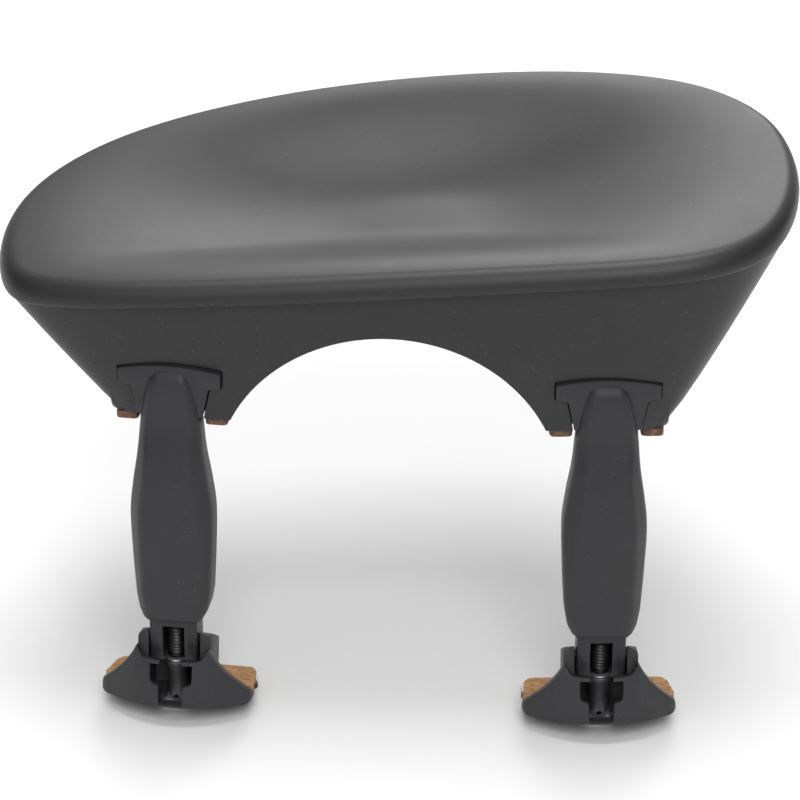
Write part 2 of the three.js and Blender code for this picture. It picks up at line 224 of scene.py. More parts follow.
def turnedSteel(name, dark, light, roughness):
    # fine turning marks round the axis and a few rubbed spots
    look = Look(name)
    squash = look.add("ShaderNodeMapping", {}, {"Vector": look.place, "Scale": (0.15, 0.15, 1.0)})
    marks = look.add("ShaderNodeTexNoise", {}, {"Vector": squash, "Scale": 9000.0, "Detail": 2.0})
    rubbed = look.mask(look.noise(900.0, 3.0), 0.45, 0.75)
    colour = look.mix(rubbed * 0.6, dark, light)
    rough = roughness + (marks - 0.5) * 0.25
    look.shader.inputs["Metallic"].default_value = 0.85
    return look.finish(Base_Color=colour, Roughness=rough, Normal=look.bump(marks, 0.25, 0.00003))


def corkSheet(name, stops, granule, gapColour):
    # pressed cork: soft-edged granules of several browns, darker joints and a crumbly surface
    look = Look(name)
    wander = look.add("ShaderNodeTexNoise", {}, {"Vector": look.place, "Scale": granule * 1.6}, out=1)
    pushed = look.add("ShaderNodeVectorMath", {"operation": "MULTIPLY_ADD"},
                      {0: wander, 1: (0.0009, 0.0009, 0.0009), 2: look.place})
    cells = {"Vector": pushed, "Scale": granule}
    tint = look.add("ShaderNodeTexVoronoi", {}, cells, out=1)
    joint = look.add("ShaderNodeTexVoronoi", {"feature": "DISTANCE_TO_EDGE"}, cells)
    fine = look.noise(granule * 5.0, 4.0, 0.7)
    brown = look.ramp(look.add("ShaderNodeSeparateColor", {}, {0: tint}), stops)
    brown = look.mix(fine * 0.55, brown, stops[-1][1])
    seam = 1.0 - look.mask(joint, 0.0, 0.12)
    colour = look.mix(seam * 0.30, brown, gapColour)
    height = look.mask(joint, 0.0, 0.25) * 0.4 + fine * 0.8
    return look.finish(Base_Color=colour, Roughness=0.80 + fine * 0.16,
                       Normal=look.bump(height, 0.6, 0.00012))


def flatPaint(name, colour, roughness):
    return Look(name).finish(Base_Color=colour, Roughness=roughness)


looks = {
    "plate": mouldedPlastic("platePlastic", (0.018, 0.018, 0.018), (0.026, 0.026, 0.026),
                            0.43, 5200.0, 0.00004),
    "leg": mouldedPlastic("legPlastic", (0.020, 0.020, 0.022), (0.028, 0.028, 0.031),
                          0.46, 6000.0, 0.00003),
    "slider": mouldedPlastic("sliderPlastic", (0.018, 0.018, 0.020), (0.026, 0.026, 0.029),
                             0.42, 7000.0, 0.00002),
    "foot": mouldedPlastic("footPlastic", (0.024, 0.024, 0.026), (0.034, 0.034, 0.037),
                           0.45, 6000.0, 0.00003),
    "blackSteel": turnedSteel("blackSteel", (0.03, 0.03, 0.032), (0.09, 0.09, 0.095), 0.36),
    "greySteel": turnedSteel("greySteel", (0.12, 0.122, 0.128), (0.22, 0.225, 0.235), 0.55),
    "brightSteel": turnedSteel("brightSteel", (0.42, 0.42, 0.43), (0.62, 0.62, 0.63), 0.28),
    "nutBrass": turnedSteel("nutBrass", (0.45, 0.30, 0.12), (0.66, 0.48, 0.22), 0.32),
    "footCork": corkSheet("footCork", [(0.0, (0.28, 0.12, 0.04)), (0.25, (0.42, 0.20, 0.07)),
                                       (0.6, (0.50, 0.26, 0.10)), (1.0, (0.58, 0.34, 0.15))],
                          1300.0, (0.30, 0.14, 0.06)),
    "padCork": corkSheet("padCork", [(0.0, (0.07, 0.03, 0.018)), (0.35, (0.11, 0.06, 0.038)),
                                     (0.7, (0.17, 0.095, 0.065)), (1.0, (0.22, 0.13, 0.09))],
                         1500.0, (0.09, 0.03, 0.02)),
    "darkFleck": corkSheet("darkFleck", [(0.0, (0.10, 0.04, 0.02)), (0.5, (0.17, 0.07, 0.03)),
                                         (0.8, (0.22, 0.10, 0.05)), (1.0, (0.28, 0.14, 0.07))],
                           2500.0, (0.05, 0.02, 0.01)),
    "floor": flatPaint("floorPaint", studio["floor"], 0.9),
}
print("finishes ready")


# Mesh helpers
def meshObject(name, points, faces):
    mesh = bpy.data.meshes.new(name)
    mesh.from_pydata([tuple(p) for p in points], [], faces)
    mesh.update()
    made = bpy.data.objects.new(name, mesh)
    scene.collection.objects.link(made)
    return made


def recalculate(made):
    work = bmesh.new()
    work.from_mesh(made.data)
    bmesh.ops.remove_doubles(work, verts=work.verts, dist=1e-7)
    bmesh.ops.recalc_face_normals(work, faces=work.faces)
    work.to_mesh(made.data)
    work.free()
    return made


def skin(name, rings):  # a closed body through rings of equal length, with a flat face at each end
    count = len(rings[0])
    points = [tuple(p) for ring in rings for p in ring]
    faces = []
    for ring in range(len(rings) - 1):
        a = ring * count
        for i in range(count):
            j = (i + 1) % count
            faces.append((a + i, a + j, a + count + j, a + count + i))
    faces.append(tuple(reversed(range(count))))
    faces.append(tuple(range((len(rings) - 1) * count, len(rings) * count)))
    return recalculate(meshObject(name, points, faces))


def prism(name, outline, low, high, axis="y"):  # an outline pushed along an axis
    def place(pair, at):
        a, b = pair
        return {"x": (at, a, b), "y": (a, at, b), "z": (a, b, at)}[axis]
    return skin(name, [[place(pair, at) for pair in outline] for at in (low, high)])


def block(name, x, y, z):
    return prism(name, [(x[0], y[0]), (x[1], y[0]), (x[1], y[1]), (x[0], y[1])], z[0], z[1], "z")


def small(name, *spans):  # a block whose spans are in millimetres
    return block(name, *[[v * mm for v in span] for span in spans])


def inMetres(points):
    return [tuple(v * mm for v in p) for p in points]


def circle(radius, centre=(0.0, 0.0), count=48):
    angles = [2 * math.pi * k / count for k in range(count)]
    return [(centre[0] + radius * math.cos(a), centre[1] + radius * math.sin(a)) for a in angles]


def bend(start, control, end, count=12):  # a quadratic curve without its last point
    steps = [k / count for k in range(count)]
    return [tuple((1 - t) ** 2 * a + 2 * t * (1 - t) * b + t * t * c
                  for a, b, c in zip(start, control, end)) for t in steps]


def turned(name, profile, y, sides=64):  # a body of revolution about the upright axis at y
    rings = []
    for radius, z in profile:
        ring = circle(radius, (0.0, y), sides)
        rings.append([(a * mm, b * mm, z * mm) for a, b in ring])
    return skin(name, rings)


def softCorners(points, radius, steps=5):  # rounds each corner of an outline
    outline = []
    for k, corner in enumerate(points):
        corner = Vector(corner)
        before = Vector(points[k - 1]) - corner
        after = Vector(points[(k + 1) % len(points)]) - corner
        start = corner + before.normalized() * min(radius, 0.45 * before.length)
        end = corner + after.normalized() * min(radius, 0.45 * after.length)
        outline += bend(start, corner, end, steps) + [tuple(end)]
    return outline


def mirroredOutline(points):
    return list(points) + [(-x, z) for x, z in reversed(points)]


def settle(made):  # what the modifiers make becomes the object's own mesh
    bpy.context.view_layer.update()
    shown = made.evaluated_get(bpy.context.evaluated_depsgraph_get())
    mesh = bpy.data.meshes.new_from_object(shown)
    made.modifiers.clear()
    made.data = mesh
    return made


def combine(made, tool, how="DIFFERENCE"):
    change = made.modifiers.new("combine", "BOOLEAN")
    change.operation = how
    change.solver = "EXACT"
    change.object = tool
    settle(made)
    bpy.data.objects.remove(tool)
    return made


def roundEdges(made, width, segments=2, angle=32.0, tidy=0.05):
    # merges the slivers that joining leaves, then rounds every edge sharper than the angle
    work = bmesh.new()
    work.from_mesh(made.data)
    bmesh.ops.remove_doubles(work, verts=work.verts, dist=2e-6)
    bmesh.ops.dissolve_degenerate(work, edges=work.edges, dist=2e-6)
    if tidy:
        bmesh.ops.dissolve_limit(work, angle_limit=math.radians(tidy), verts=work.verts, edges=work.edges)
    work.to_mesh(made.data)
    work.free()
    bevel = made.modifiers.new("round", "BEVEL")
    bevel.width = width
    bevel.segments = segments
    bevel.limit_method = "ANGLE"
    bevel.angle_limit = math.radians(angle)
    bevel.use_clamp_overlap = True
    return settle(made)


def dress(made, look, body, slot, *nodes):  # shading, finish, and the body that the piece moves with
    made.data.materials.clear()
    made.data.materials.append(looks[look])
    for face in made.data.polygons:
        face.use_smooth = True
    made.data.set_sharp_from_angle(angle=sharpFrom)
    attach(made, body)
    if nodes:
        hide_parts(*nodes)
    return made


def legPlace(side):
    return Matrix.Translation((side * leg["offset"], 0, 0)) @ Matrix.Rotation(side * leg["yaw"], 4, "Z")


def footPlace(side):  # the foot hangs tilted on its trunnions
    pivot = Matrix.Translation((0, foot["pivotY"] * mm, foot["pivotZ"] * mm))
    return legPlace(side) @ pivot @ Matrix.Rotation(foot["tilt"], 4, "X") @ pivot.inverted()


def moved(made, matrix):
    made.data.transform(matrix)
    return made


class Tree:  # a Geometry Nodes tree with named inputs
    def __init__(self, name, inputs):
        self.group = bpy.data.node_groups.new(name, "GeometryNodeTree")
        face = self.group.interface
        face.new_socket("Geometry", in_out="INPUT", socket_type="NodeSocketGeometry")
        self.ids = {}
        for label, kind in inputs.items():
            socket = face.new_socket(label, in_out="INPUT", socket_type="NodeSocket" + kind)
            self.ids[label] = socket.identifier
        face.new_socket("Geometry", in_out="OUTPUT", socket_type="NodeSocketGeometry")
        self.start = self.group.nodes.new("NodeGroupInput")
        self.end = self.group.nodes.new("NodeGroupOutput")

    def add(self, kind, settings, sockets, out=0):
        node = self.group.nodes.new(kind)
        for key, value in settings.items():
            setattr(node, key, value)
        for key, value in sockets.items():
            if isinstance(value, bpy.types.NodeSocket):
                self.group.links.new(value, node.inputs[key])
            else:
                node.inputs[key].default_value = value
        return node.outputs[out]

    def given(self, label):
        return self.start.outputs[label]

    def close(self, geometry):
        real = self.add("GeometryNodeRealizeInstances", {}, {"Geometry": geometry})
        sockets = {"Geometry": real, "Material": self.given("Material")}
        painted = self.add("GeometryNodeSetMaterial", {}, sockets)
        self.group.links.new(painted, self.end.inputs[0])
        return self

    def grow(self, made, values):  # runs the tree on an object and keeps the mesh
        change = made.modifiers.new(self.group.name, "NODES")
        change.node_group = self.group
        for label, value in values.items():
            change[self.ids[label]] = value
        return settle(made)


# The chin plate: a dished shell on two pads, arched over the tailpiece
plate = {
    "rim": [(0, -1.6), (20, -1.5), (37, -0.8), (46.5, 2.5), (52, 9), (54.7, 20), (54, 32), (50, 43),
            (40, 52.7), (24, 58), (5, 59), (-14, 56.8), (-31, 51.3), (-44.5, 42.7), (-53, 30.5),
            (-55, 17), (-52, 5), (-45, 1), (-36, -0.8), (-20, -1.6)],
    "base": [(0, -1.3), (20, -0.7), (32, 0.2), (36.6, 1.5), (37.8, 5.5), (37.8, 12), (36.5, 20),
             (33, 27), (26, 32), (15, 34.5), (2, 35), (-12, 34.5), (-24, 32), (-32, 27),
             (-36.3, 20), (-37.8, 12), (-37.8, 5.5), (-36.6, 1.5), (-32, 0.2), (-20, -0.7)],
    "rimFront": 23.6, "riseX": 0.084, "riseY": 0.08,
    "dish": 6.5, "dishSpread": 0.86, "dishCentre": (2.0, 28.0),
    "wall": 2.4, "seat": 1.1, "ringPoints": 240,
    "roll": 2.3, "fall": 2.6, "tuckEnd": 53.0, "tuckFade": 20.0, "flare": 0.84,
    "archHalf": 23.5, "archRise": 21.9, "archTop": 14.0, "ribsBelow": 0.8, "pocketGap": 0.16,
}


def closedCurve(plan, count):  # a smooth closed curve near the plan's points
    plan = np.array(plan, float)
    size = len(plan)
    t = np.arange(count) * size / count
    k = t.astype(int)
    f = (t - k)[:, None]
    p0, p1, p2, p3 = (plan[(k + shift) % size] for shift in (-1, 0, 1, 2))
    curve = 0.5 * (2 * p1 + (p2 - p0) * f + (2 * p0 - 5 * p1 + 4 * p2 - p3) * f ** 2
                   + (3 * p1 - p0 - 3 * p2 + p3) * f ** 3)
    waves = np.fft.fft(curve[:, 0] + 1j * curve[:, 1])
    order = np.abs(np.fft.fftfreq(count, 1 / count))
    waves *= np.exp(-(order / 15.0) ** 4)
    smooth = np.fft.ifft(waves)
    return np.stack([smooth.real, smooth.imag], 1)


def insetCurve(curve, inset):
    along = np.roll(curve, -1, 0) - np.roll(curve, 1, 0)
    along /= np.linalg.norm(along, axis=1)[:, None]
    return curve + inset * np.stack([-along[:, 1], along[:, 0]], 1)


def rimHeight(xy):
    return plate["rimFront"] + plate["riseX"] * xy[:, 0] + plate["riseY"] * xy[:, 1]


def level(xy, z):
    return np.column_stack([xy, np.broadcast_to(z, len(xy))]) * mm


def dishRings(rim, reaches, below):
    centre = np.array(plate["dishCentre"])
    ridge = insetCurve(rim, plate["roll"] + 0.7)
    rings = []
    for reach in reaches:
        t = min(1.0, (1.0 - reach) / plate["dishSpread"])
        drop = plate["dish"] * t * t * (3 - 2 * t)
        xy = centre + (ridge - centre) * reach
        rings.append(level(xy, rimHeight(xy) - drop - below))
    return rings


def plateBody():
    rim = closedCurve(plate["rim"], plate["ringPoints"])
    base = closedCurve(plate["base"], plate["ringPoints"])
    roll = plate["roll"]
    fade = (plate["tuckEnd"] - np.abs(rim[:, 0])) / plate["tuckFade"]  # the lip fades out at both ends
    tuck = np.clip(fade, 0.1, 1.0)[:, None]
    brow = insetCurve(rim, 1.9 * tuck)
    browHeight = rimHeight(brow) - 3.3
    rings = []
    for share in np.linspace(0, 1, 9):
        xy = base + (brow - base) * share ** plate["flare"]
        rings.append(level(xy, plate["seat"] + (browHeight - plate["seat"]) * share))
    for inset, drop in ((1.2, -3.5), (0.75, -3.42), (0.35, -3.2), (0.1, -2.95)):
        xy = insetCurve(rim, inset * tuck)
        rings.append(level(xy, rimHeight(xy) + drop))
    for a in np.linspace(0, math.pi / 2, 11):
        xy = insetCurve(rim, roll * (1 - math.cos(a)))
        rings.append(level(xy, rimHeight(xy) - plate["fall"] * (1 - math.sin(a))))
    reaches = np.concatenate([np.linspace(1, 0.9, 6), np.linspace(0.87, 0.03, 29)])
    rings += dishRings(rim, reaches, 0.0)
    return skin("chin_plate_shell", rings)


def plateHollow():
    rim = closedCurve(plate["rim"], plate["ringPoints"] // 2)
    base = closedCurve(plate["base"], plate["ringPoints"] // 2)
    wall = plate["wall"]
    foot = insetCurve(base, wall)
    low, high = insetCurve(base, 1.25 * wall), insetCurve(rim, 1.25 * wall + 1.5)
    shoulder = low + (high - low) * 0.8
    rings = [level(foot, -2.0), level(foot, plate["seat"]),
             level(shoulder, plate["seat"] + (rimHeight(high) - 3.4 - plate["seat"]) * 0.8)]
    rings += dishRings(rim, (0.87, 0.75, 0.6, 0.45, 0.3, 0.15, 0.05), wall)
    return skin("hollow", rings)


def underCut(lift):  # behind the pads the lower edge climbs to the back rim
    seat = plate["seat"] + lift
    side = [(14.6, -6.0)] + bend((14.6, seat), (22.0, 16.0 + lift), (66.0, 22.5 + lift), 40)
    side += [(66.0, 22.5 + lift), (66.0, -6.0)]
    return prism("underCut", [(y * mm, z * mm) for y, z in side], -0.065, 0.065, "x")


def archCut():
    half, rise, top = plate["archHalf"] * mm, plate["archRise"] * mm, plate["archTop"] * mm
    outline = [(half * math.cos(a), top - rise + rise * math.sin(a)) for a in np.linspace(0, math.pi, 121)]
    return prism("archCut", outline, -0.005, 0.066)


def headOutline(gap):  # the T-shaped head of a leg, grown by a gap for its pocket
    arm = 7.1 + gap
    right = [(arm, 5.9 - gap), (5.4 + gap, 5.7 - gap), (4.5 + gap, 1.4), (4.4 + gap, -2.0)]
    top = bend((-arm, 8.1 + gap), (0.0, 9.7 + gap), (arm, 8.1 + gap), 24) + [(arm, 8.1 + gap)]
    outline = top + right + [(-x, z) for x, z in reversed(right)]
    return [(x * mm, z * mm) for x, z in outline]


def plateRibs():  # a cross rib, and at each leg a wall behind the pocket, a pad floor and two ribs
    ribs = moved(plateBody(), Matrix.Translation((0, 0, -plate["ribsBelow"] * mm)))
    inside = small("ribs", (-37, 37), (22, 23.4), (4, 30))
    for side in (-1, 1):
        walls = [((-8.4, 8.4), (0.6, 6.0), (1.2, 20.0)), ((-8.4, 8.4), (0.6, 13.2), (1.2, 4.0))]
        walls += [((x - 0.7, x + 0.7), (4.0, 46.0), (2.0, 30.0)) for x in (-5.5, 5.5)]
        for spans in walls:
            combine(inside, moved(small("wall", *spans), legPlace(side)), "UNION")
    combine(ribs, inside, "INTERSECT")
    return combine(ribs, underCut(1.2))


def buildPlate():
    body = plateBody()
    ribs = plateRibs()
    combine(body, plateHollow())
    combine(body, underCut(0.0))
    combine(body, ribs, "UNION")
    combine(body, archCut())
    for side in (-1, 1):
        pocket = prism("pocket", headOutline(plate["pocketGap"]), -0.004, 0.0034)
        combine(body, moved(pocket, legPlace(side)))
        bore = prism("bore", circle(0.8 * mm, (0.0, fixing["height"] * mm), 24), 0.001, 0.009)
        combine(body, moved(bore, legPlace(side)))
    return dress(body, "plate", "root", "plate_plastic", "chin_plate")


# The legs: sleeve and T-shaped head in one moulding
leg = {
    "offset": 29.7 * mm, "yaw": math.radians(5.1),
    "levels": [  # height, half width, front, back, chamfer of the front corners
        (-29.6, 3.75, -3.7, 2.4, 0.5), (-29.2, 4.3, -3.9, 2.5, 0.8), (-28.2, 4.85, -4.0, 2.6, 1.2),
        (-26, 5.25, -4.0, 2.6, 1.4), (-20, 5.6, -4.05, 2.6, 1.6), (-13, 5.8, -4.0, 2.6, 1.8),
        (-8.4, 5.3, -3.75, 2.6, 1.8), (-4.2, 4.65, -3.1, 2.6, 1.5), (-0.6, 4.35, -2.0, 2.6, 1.2),
        (2.2, 4.05, -1.7, 3.0, 1.1), (5.0, 3.75, -1.45, 3.1, 1.2), (6.8, 3.4, -1.15, 3.1, 1.2),
        (8.1, 2.4, -0.5, 3.1, 0.6)],
    "steps": 7, "softness": 0.7, "headFront": -0.45, "headBack": 3.2,
    "neckHalf": 3.4, "neckFront": -2.9, "neckBack": 1.3, "neckFoot": -36.4,
    "tongueTop": -15.0, "slotTop": -30.9, "floorTop": -35.85, "screwY": -0.9,
}


def smoothLevels(levels, steps):  # more levels between the given ones, on a smooth curve
    table = np.array(levels, float)
    rows = []
    for k in range(len(table) - 1):
        p0, p3 = table[max(0, k - 1)], table[min(len(table) - 1, k + 2)]
        p1, p2 = table[k], table[k + 1]
        for f in np.arange(steps) / steps:
            row = 0.5 * (2 * p1 + (p2 - p0) * f + (2 * p0 - 5 * p1 + 4 * p2 - p3) * f ** 2
                         + (3 * p1 - p0 - 3 * p2 + p3) * f ** 3)
            row[0] = p1[0] + (p2[0] - p1[0]) * f
            rows.append(row)
    return rows + [table[-1]]


def sleeveRing(z, half, front, back, cut):
    corners = [(half - cut, front), (half, front + 1.25 * cut), (half, back - 0.7), (half - 0.7, back),
               (-half + 0.7, back), (-half, back - 0.7), (-half, front + 1.25 * cut), (-half + cut, front)]
    return [(x * mm, y * mm, z * mm) for x, y in softCorners(corners, leg["softness"], 4)]


def buildLeg(side, label):
    body = skin(label + "_leg_shell", [sleeveRing(*row) for row in smoothLevels(leg["levels"], leg["steps"])])
    head = prism("head", headOutline(0.0), leg["headFront"] * mm, leg["headBack"] * mm)
    combine(head, small("below", (-9, 9), (-2, 4), (-3, 1.4)))
    roundEdges(head, 0.12 * mm, 2, 40.0, 0)
    combine(body, head, "UNION")
    half = leg["neckHalf"] + 0.12
    channel = small("channel", (-half, half), (leg["neckFront"] - 0.12, leg["neckBack"] + 0.12), (-32, -10))
    combine(body, channel)
    bore = turned("bore", [(1.65, -11.0), (1.65, -4.0)], leg["screwY"], 32)
    combine(body, bore)
    combine(body, prism("tap", circle(0.56 * mm, (0.0, fixing["height"] * mm), 24), 0.7 * mm, 5.7 * mm))
    moved(body, legPlace(side))
    return dress(body, "leg", "root", "leg_plastic", label + "_leg_housing")


def buildSlider(side, label):
    half, front = leg["neckHalf"], leg["neckFront"]
    back = leg["neckBack"]
    section = softCorners([(-half, front), (half, front), (half, back), (-half, back)], 0.35)
    body = prism(label + "_slide_neck", inMetres(section), leg["neckFoot"] * mm, leg["tongueTop"] * mm, "z")
    combine(body, small("channel", (-1.6, 1.6), (front + 0.4, 0.75), (leg["floorTop"], leg["tongueTop"] + 1)))
    combine(body, small("slot", (-1.55, 1.55), (front - 1, 0), (leg["floorTop"], leg["slotTop"])))
    fork = screw["journal"] + screw["running"]
    low, high = leg["neckFoot"] - 1, leg["floorTop"] + 1
    combine(body, small("fork", (-fork, fork), (front - 1, leg["screwY"]), (low, high)))
    combine(body, turned("seat", [(fork, low), (fork, high)], leg["screwY"], 40))
    roundEdges(body, 0.10 * mm, 2, 40.0)
    for way in (-1, 1):
        pin = prism("pin", inMetres(circle(foot["pin"], (foot["pivotY"], foot["pivotZ"]), 32)),
                    *sorted((way * 2.9 * mm, way * 4.35 * mm)), "x")
        combine(body, pin, "UNION")
    moved(body, legPlace(side))
    return dress(body, "slider", label + "_slider", "slider_plastic", label + "_foot_slider")


# The clamp screw: a turned core, a rolled thread and the barrel that is turned by a pin
screw = {"core": 1.2, "outer": 1.45, "pitch": 0.5, "low": -35.6, "high": -5.7, "steps": 28,
         "journal": 1.1, "journalFoot": -38.98, "running": 0.12}
barrel = {"foot": -43.9, "keyHole": -42.9, "keyRadius": 0.38,
          "profile": [  # radius, height above the barrel's lower end
              (0.40, 0.0), (0.70, 0.05), (0.93, 0.17), (1.12, 0.38), (1.27, 0.7), (1.34, 1.1), (1.38, 1.5),
              (1.38, 5.0), (1.43, 5.1), (1.71, 6.3), (1.75, 6.4), (1.75, 6.84), (1.69, 6.9)]}


def threadTree():
    tree = Tree("threadRidge", {"Pitch": "Float", "Core": "Float", "Depth": "Float", "Length": "Float",
                                "Low": "Float", "Steps": "Int", "Material": "Material"})
    core, length = tree.given("Core"), tree.given("Length")
    turns = tree.add("ShaderNodeMath", {"operation": "DIVIDE"}, {0: length, 1: tree.given("Pitch")})
    helix = tree.add("GeometryNodeCurveSpiral", {}, {
        "Resolution": tree.given("Steps"), "Rotations": turns, "Height": length,
        "Start Radius": core, "End Radius": core})
    upright = tree.add("GeometryNodeSetCurveNormal", {"mode": "Z_UP"}, {"Curve": helix})
    shape = {"Resolution": 4, "Radius": tree.given("Depth")}  # a four-sided section leaves a sharp ridge
    section = tree.add("GeometryNodeCurvePrimitiveCircle", {}, shape)
    sweep = {"Curve": upright, "Profile Curve": section, "Fill Caps": True}
    ridge = tree.add("GeometryNodeCurveToMesh", {}, sweep)
    lift = tree.add("ShaderNodeCombineXYZ", {}, {"Z": tree.given("Low")})
    raised = tree.add("GeometryNodeTransform", {}, {"Geometry": ridge, "Translation": lift})
    return tree.close(raised)


def threadRidge():
    ridge = meshObject("ridge", [(0, 0, 0)], [])
    threadTree().grow(ridge, {
        "Pitch": screw["pitch"] * mm, "Core": screw["core"] * mm, "Low": screw["low"] * mm,
        "Depth": (screw["outer"] - screw["core"]) * mm, "Length": (screw["high"] - screw["low"]) * mm,
        "Steps": screw["steps"], "Material": looks["blackSteel"]})
    return moved(recalculate(ridge), Matrix.Translation((0, leg["screwY"] * mm, 0)))


def buildScrew(side, label):
    ridge = threadRidge()
    core = turned(label + "_screw_rod", [
        (screw["journal"], screw["journalFoot"]), (screw["journal"], -35.9), (screw["core"], -35.8),
        (screw["core"], -5.6), (1.0, -5.15), (0.9, -5.02)], leg["screwY"])
    joined = bmesh.new()
    joined.from_mesh(core.data)
    joined.from_mesh(ridge.data)
    joined.to_mesh(core.data)
    joined.free()
    bpy.data.objects.remove(ridge)
    moved(core, legPlace(side))
    dress(core, "blackSteel", label + "_screw", "black_steel", label + "_clamp_screw")


def buildBarrel(side, label):
    profile = [(radius, barrel["foot"] + rise) for radius, rise in barrel["profile"]]
    head = turned(label + "_drive_barrel", profile, leg["screwY"])
    bore = screw["journal"] + 0.02
    combine(head, turned("bore", [(bore, -39.02), (bore, -36.0)], leg["screwY"], 48))
    key = circle(barrel["keyRadius"] * mm, (0.0, barrel["keyHole"] * mm), 24)
    combine(head, prism("key", key, (leg["screwY"] - 2) * mm, (leg["screwY"] + 2) * mm))
    moved(head, legPlace(side))
    dress(head, "greySteel", label + "_screw", "grey_steel", label + "_screw_head")


def buildWasher(side, label):
    profile = [(1.65, -36.85), (1.75, -36.78), (1.75, -36.52), (1.65, -36.45)]
    ring = turned(label + "_thrust_ring", profile, leg["screwY"])
    bore = screw["journal"] + screw["running"]
    combine(ring, turned("bore", [(bore, -38.0), (bore, -36.0)], leg["screwY"], 48))
    moved(ring, legPlace(side))
    dress(ring, "brightSteel", label + "_slider", "bright_steel", label + "_thrust_washer")


# The screw that holds each leg's head, seen only from behind
fixing = {"height": 7.1, "slot": 0.2,
          "profile": [(0.5, 1.4), (0.5, 6.3), (1.32, 6.3), (1.4, 6.38), (1.4, 6.8), (1.15, 7.12), (0.6, 7.2)]}


def buildFixing(side, label):
    height, slot = fixing["height"], fixing["slot"]
    rings = []
    for radius, y in fixing["profile"]:
        rings.append([(x * mm, y * mm, (height + z) * mm) for x, z in circle(radius, count=48)])
    body = skin(label + "_fixing_bolt", rings)
    combine(body, small("slot", (-1.6, 1.6), (6.85, 8.0), (height - slot, height + slot)))
    moved(body, legPlace(side))
    dress(body, "brightSteel", "root", "bright_steel", label + "_fixing_screw")


# The tilting foot: front wall, cheeks and plate in one moulding
foot = {
    "pivotY": -0.8, "pivotZ": -33.9, "tilt": math.radians(-12), "half": 10.85, "back": 7.7,
    "base": -42.95, "plate": 1.0, "wall": 1.3, "cork": 1.3, "hubFront": -2.4, "hubBack": 3.5,
    "roomBack": 2.75, "nose": -8.2, "edge": 0.16 * mm, "pin": 0.7,
}


def footPlan(inset, shift=0.0):
    half = foot["half"] - inset
    side, tip = -1.7 + inset, foot["nose"] + inset
    left = bend((-half, 0.2 + inset), (-half, -1.0 + inset), (-half + 1.6, side), 8)
    nose = bend((-half + 1.6, side), (0, tip), (half - 1.6, side), 40)
    right = bend((half - 1.6, side), (half, -1.0 + inset), (half, 0.2 + inset), 8)
    back = foot["back"]
    rear = [(half, back - 2.9), (half - 1.4, back - inset), (-half + 1.4, back - inset), (-half, back - 2.9)]
    rear = bend((half, 0.2 + inset), (half, 1.0), (half, 1.5), 2) + softCorners(rear, 0.6, 4)
    return inMetres([(x, y + shift) for x, y in left + nose + right + rear])


def footWallOutline():
    half, base = foot["half"], foot["base"]
    flare = bend((half - 0.25, base + 2.0), (6.6, base + 5.4), (5.3, base + 8.3), 24)
    corner = bend((half - 1.2, base), (half + 0.05, base + 0.1), (half, base + 1.1), 8)
    right = corner + [(half, base + 1.1)] + flare
    right += bend((5.3, base + 8.3), (5.15, base + 8.75), (4.75, base + 7.9), 6)
    right += bend((4.75, base + 7.9), (4.3, base + 6.9), (3.4, base + 6.9), 6) + [(3.4, base + 6.9)]
    return inMetres(mirroredOutline(right))


def footWindow():
    base = foot["base"]
    right = [(1.7, base + 0.3), (1.8, base + 3.0)]
    right += bend((1.9, base + 3.15), (3.0, base + 3.2), (3.02, base + 4.0), 6)
    right += [(3.02, base + 4.0), (3.05, base + 6.35), (1.6, base + 6.35), (1.6, base + 8.0)]
    return prism("window", inMetres(mirroredOutline(right)), -9 * mm, foot["hubFront"] * mm)


def footHub():
    base = foot["base"]
    crown = bend((5.2, -33.6), (5.15, -33.0), (4.7, -32.8), 5) + [(4.7, -32.8), (3.5, -32.1)]
    cheeks = prism("hub", inMetres(mirroredOutline([(5.25, base)] + crown)),
                   foot["hubFront"] * mm, foot["hubBack"] * mm)
    combine(cheeks, small("sill", (-5.25, 5.25), (-4.4, foot["hubFront"] + 0.1), (base, base + 6.2)), "UNION")
    slope = small("slope", (-10, 10), (-7, 7), (-3, 3))
    slope.data.transform(Matrix.Translation((0, 5.0 * mm, -32.15 * mm)) @ Matrix.Rotation(-0.42, 4, "X"))
    return combine(cheeks, slope)


def buildFoot(side, label):
    base, wall = foot["base"], foot["wall"]
    floor = base + foot["plate"]
    body = prism(label + "_foot_shell", footWallOutline(), -9 * mm, 15 * mm)
    combine(body, prism("plan", footPlan(0), (base - 1) * mm, -30 * mm, "z"), "INTERSECT")
    combine(body, prism("inside", footPlan(-0.2, wall + 0.2), floor * mm, -30 * mm, "z"))
    hub = footHub()
    combine(hub, prism("plan", footPlan(0.02), (base - 1) * mm, -30 * mm, "z"), "INTERSECT")
    combine(body, hub, "UNION")
    room = leg["neckHalf"] + 0.3
    combine(body, small("room", (-room, room), (-4.95 + wall, foot["roomBack"]), (floor, -30)))
    combine(body, small("well", (-1.48, 1.48), (-2.75, foot["roomBack"] + 0.25), (base - 1, floor + 0.5)))
    pin = circle(foot["pin"] + 0.1, (foot["pivotY"], foot["pivotZ"]), 32)
    combine(body, prism("pinHole", inMetres(pin), -4.55 * mm, 4.55 * mm, "x"))
    combine(body, footWindow())
    roundEdges(body, foot["edge"], 2, 35.0)
    moved(body, footPlace(side))
    return dress(body, "foot", label + "_foot", "foot_plastic", label + "_clamp_foot")


# Cork: the sheets and the dark flecks in them
pad = {"half": 7.75, "front": 0.4, "back": 12.6, "notch": 4.65, "notchBack": 4.2, "thick": 1.05}
flecks = {"size": 0.16 * mm, "density": 260000.0, "thinnest": (0.5, 0.5, 0.10), "thickest": (1.6, 1.0, 0.22)}


